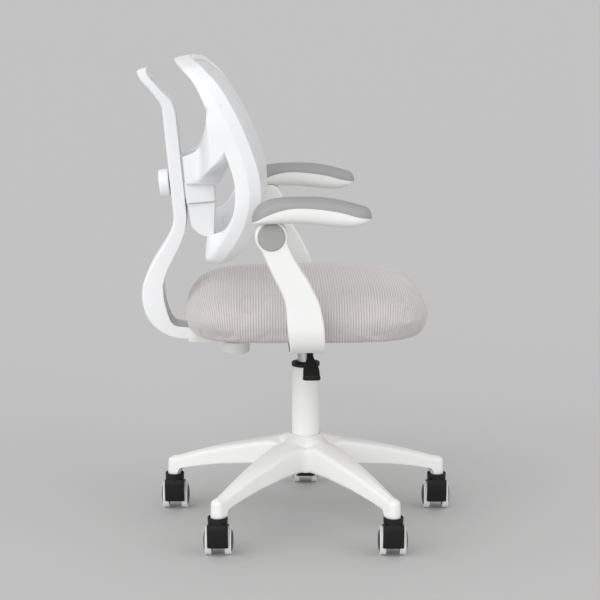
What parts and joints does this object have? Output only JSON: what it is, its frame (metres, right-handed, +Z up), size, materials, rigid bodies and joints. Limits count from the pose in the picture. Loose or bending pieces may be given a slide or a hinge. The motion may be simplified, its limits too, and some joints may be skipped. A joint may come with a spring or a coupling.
{
  "type": "desk chair",
  "caption": "Child's swivel desk chair with a star base on wheeled casters, gas lift, ribbed cushion, sliding mesh back on a curved bar, and flip-up padded arms.",
  "frame": {"origin": "on the floor under the middle of the chair's bounding box; the column axis is 11 mm ahead of it", "axes": "+X forward, the way the sitter faces; +Y to the sitter's left; +Z up"},
  "size_m": [0.5688, 0.6039, 0.8523],
  "materials": {
    "white_plastic": "satin moulded white",
    "dark_plastic": "satin moulded black",
    "grey_pad": "soft matte grey",
    "seat_cloth": "ribbed woven cloth",
    "back_net": "open stretched net",
    "bright_steel": "bright steel",
    "coated_steel": "black powder coat",
    "white_enamel": "white powder coat",
    "plywood": "raw plywood",
    "wheel_plastic": "moulded white with dark caps"
  },
  "bodies": {
    "base": {"star_base": "white_plastic", "column_tube": "white_plastic", "column_bush": "dark_plastic", "thrust_bearing": "bright_steel"},
    "spindle": {"piston_rod": "bright_steel", "retaining_clip": "bright_steel"},
    "seat": {"gas_cylinder": "bright_steel", "seat_plate": "coated_steel", "lever_pin": "bright_steel", "seat_board": "plywood", "seat_cushion": "seat_cloth", "back_bracket": "white_enamel", "arm_bracket_left": "white_plastic", "arm_bracket_right": "white_plastic", "pivot_pin_left": "bright_steel", "pivot_pin_right": "bright_steel", "pivot_cap_left": "grey_pad", "pivot_cap_right": "grey_pad", "bracket_bolt_left": "bright_steel", "bracket_bolt_right": "bright_steel"},
    "lever": {"lift_lever": "dark_plastic"},
    "valve": {"valve_pin": "bright_steel"},
    "seat_knob": {"depth_knob": "white_plastic"},
    "bar": {"back_bar": "white_plastic", "bar_spine": "bright_steel"},
    "backrest": {"back_frame": "white_plastic", "lower_carrier": "white_plastic", "mesh_hoop": "white_plastic", "back_mesh": "back_net", "knob_insert": "bright_steel"},
    "bar_knob": {"height_knob": "white_plastic"},
    "armrest_left": {"armrest_shell_left": "white_plastic", "armrest_pad_left": "grey_pad"},
    "armrest_right": {"armrest_shell_right": "white_plastic", "armrest_pad_right": "grey_pad"},
    "caster_1": {"caster_hood_1": "dark_plastic", "caster_stem_1": "bright_steel", "caster_axle_1": "bright_steel"},
    "wheel_1_left": {"caster_wheel_1_left": "wheel_plastic"},
    "wheel_1_right": {"caster_wheel_1_right": "wheel_plastic"},
    "caster_2": {"caster_hood_2": "dark_plastic", "caster_stem_2": "bright_steel", "caster_axle_2": "bright_steel"},
    "wheel_2_left": {"caster_wheel_2_left": "wheel_plastic"},
    "wheel_2_right": {"caster_wheel_2_right": "wheel_plastic"},
    "caster_3": {"caster_hood_3": "dark_plastic", "caster_stem_3": "bright_steel", "caster_axle_3": "bright_steel"},
    "wheel_3_left": {"caster_wheel_3_left": "wheel_plastic"},
    "wheel_3_right": {"caster_wheel_3_right": "wheel_plastic"},
    "caster_4": {"caster_hood_4": "dark_plastic", "caster_stem_4": "bright_steel", "caster_axle_4": "bright_steel"},
    "wheel_4_left": {"caster_wheel_4_left": "wheel_plastic"},
    "wheel_4_right": {"caster_wheel_4_right": "wheel_plastic"},
    "caster_5": {"caster_hood_5": "dark_plastic", "caster_stem_5": "bright_steel", "caster_axle_5": "bright_steel"},
    "wheel_5_left": {"caster_wheel_5_left": "wheel_plastic"},
    "wheel_5_right": {"caster_wheel_5_right": "wheel_plastic"}
  },
  "joints": [
    {"name": "seat_swivel", "type": "hinge", "parent": "base", "child": "spindle", "pos_m": [0.011, 0, 0.09], "axis": [0, 0, 1], "continuous": true},
    {"name": "seat_lift", "type": "slide", "parent": "spindle", "child": "seat", "axis": [0, 0, 1], "range_m": [0, 0.1]},
    {"name": "lever_lift", "type": "hinge", "parent": "seat", "child": "lever", "pos_m": [0.014, -0.03, 0.356], "axis": [-1, 0, 0], "range_deg": [0, 12], "stiffness_Nm_per_rad": 0.5, "springref_deg": -14.32},
    {"name": "valve_press", "type": "slide", "parent": "seat", "child": "valve", "axis": [0, 0, -1], "range_m": [0, 0.0072]},
    {"name": "seat_knob_turn", "type": "hinge", "parent": "seat", "child": "seat_knob", "pos_m": [-0.114, 0, 0.33], "axis": [0, 0, 1], "range_deg": [0, 360]},
    {"name": "back_depth", "type": "slide", "parent": "seat", "child": "bar", "axis": [1, 0, 0], "range_m": [-0.03, 0.02]},
    {"name": "back_height", "type": "slide", "parent": "bar", "child": "backrest", "axis": [-0.0943, 0, 0.9955], "range_m": [-0.02, 0.06]},
    {"name": "bar_knob_turn", "type": "hinge", "parent": "backrest", "child": "bar_knob", "pos_m": [-0.2287, 0, 0.628], "axis": [0.9955, 0, 0.0943], "range_deg": [0, 360]},
    {"name": "arm_flip_left", "type": "hinge", "parent": "seat", "child": "armrest_left", "pos_m": [-0.0533, 0, 0.5684], "axis": [0, -1, 0], "range_deg": [0, 90]},
    {"name": "arm_flip_right", "type": "hinge", "parent": "seat", "child": "armrest_right", "pos_m": [-0.0533, 0, 0.5684], "axis": [0, -1, 0], "range_deg": [0, 90]},
    {"name": "caster_swivel_1", "type": "hinge", "parent": "base", "child": "caster_1", "pos_m": [0.25803, 0.07233, 0.07], "axis": [0, 0, 1], "continuous": true},
    {"name": "wheel_roll_1_left", "type": "hinge", "parent": "caster_1", "child": "wheel_1_left", "pos_m": [0.25861, 0.09232, 0.025], "axis": [0.9996, -0.0293, 0], "continuous": true},
    {"name": "wheel_roll_1_right", "type": "hinge", "parent": "caster_1", "child": "wheel_1_right", "pos_m": [0.25861, 0.09232, 0.025], "axis": [0.9996, -0.0293, 0], "continuous": true},
    {"name": "caster_swivel_2", "type": "hinge", "parent": "base", "child": "caster_2", "pos_m": [0.01855, 0.25729, 0.07], "axis": [0, 0, 1], "continuous": true},
    {"name": "wheel_roll_2_left", "type": "hinge", "parent": "caster_2", "child": "wheel_2_left", "pos_m": [0.01913, 0.27728, 0.025], "axis": [0.9996, -0.0293, 0], "continuous": true},
    {"name": "wheel_roll_2_right", "type": "hinge", "parent": "caster_2", "child": "wheel_2_right", "pos_m": [0.01913, 0.27728, 0.025], "axis": [0.9996, -0.0293, 0], "continuous": true},
    {"name": "caster_swivel_3", "type": "hinge", "parent": "base", "child": "caster_3", "pos_m": [-0.23136, 0.08668, 0.07], "axis": [0, 0, 1], "continuous": true},
    {"name": "wheel_roll_3_left", "type": "hinge", "parent": "caster_3", "child": "wheel_3_left", "pos_m": [-0.23078, 0.10668, 0.025], "axis": [0.9996, -0.0293, 0], "continuous": true},
    {"name": "wheel_roll_3_right", "type": "hinge", "parent": "caster_3", "child": "wheel_3_right", "pos_m": [-0.23078, 0.10668, 0.025], "axis": [0.9996, -0.0293, 0], "continuous": true},
    {"name": "caster_swivel_4", "type": "hinge", "parent": "base", "child": "caster_4", "pos_m": [-0.14634, -0.20372, 0.07], "axis": [0, 0, 1], "continuous": true},
    {"name": "wheel_roll_4_left", "type": "hinge", "parent": "caster_4", "child": "wheel_4_left", "pos_m": [-0.14575, -0.18372, 0.025], "axis": [0.9996, -0.0293, 0], "continuous": true},
    {"name": "wheel_roll_4_right", "type": "hinge", "parent": "caster_4", "child": "wheel_4_right", "pos_m": [-0.14575, -0.18372, 0.025], "axis": [0.9996, -0.0293, 0], "continuous": true},
    {"name": "caster_swivel_5", "type": "hinge", "parent": "base", "child": "caster_5", "pos_m": [0.15613, -0.21259, 0.07], "axis": [0, 0, 1], "continuous": true},
    {"name": "wheel_roll_5_left", "type": "hinge", "parent": "caster_5", "child": "wheel_5_left", "pos_m": [0.15671, -0.1926, 0.025], "axis": [0.9996, -0.0293, 0], "continuous": true},
    {"name": "wheel_roll_5_right", "type": "hinge", "parent": "caster_5", "child": "wheel_5_right", "pos_m": [0.15671, -0.1926, 0.025], "axis": [0.9996, -0.0293, 0], "continuous": true}
  ],
  "couplings": [
    {"joint": "valve_press", "follows": "lever_lift", "m_per_rad": 0.034}
  ]
}
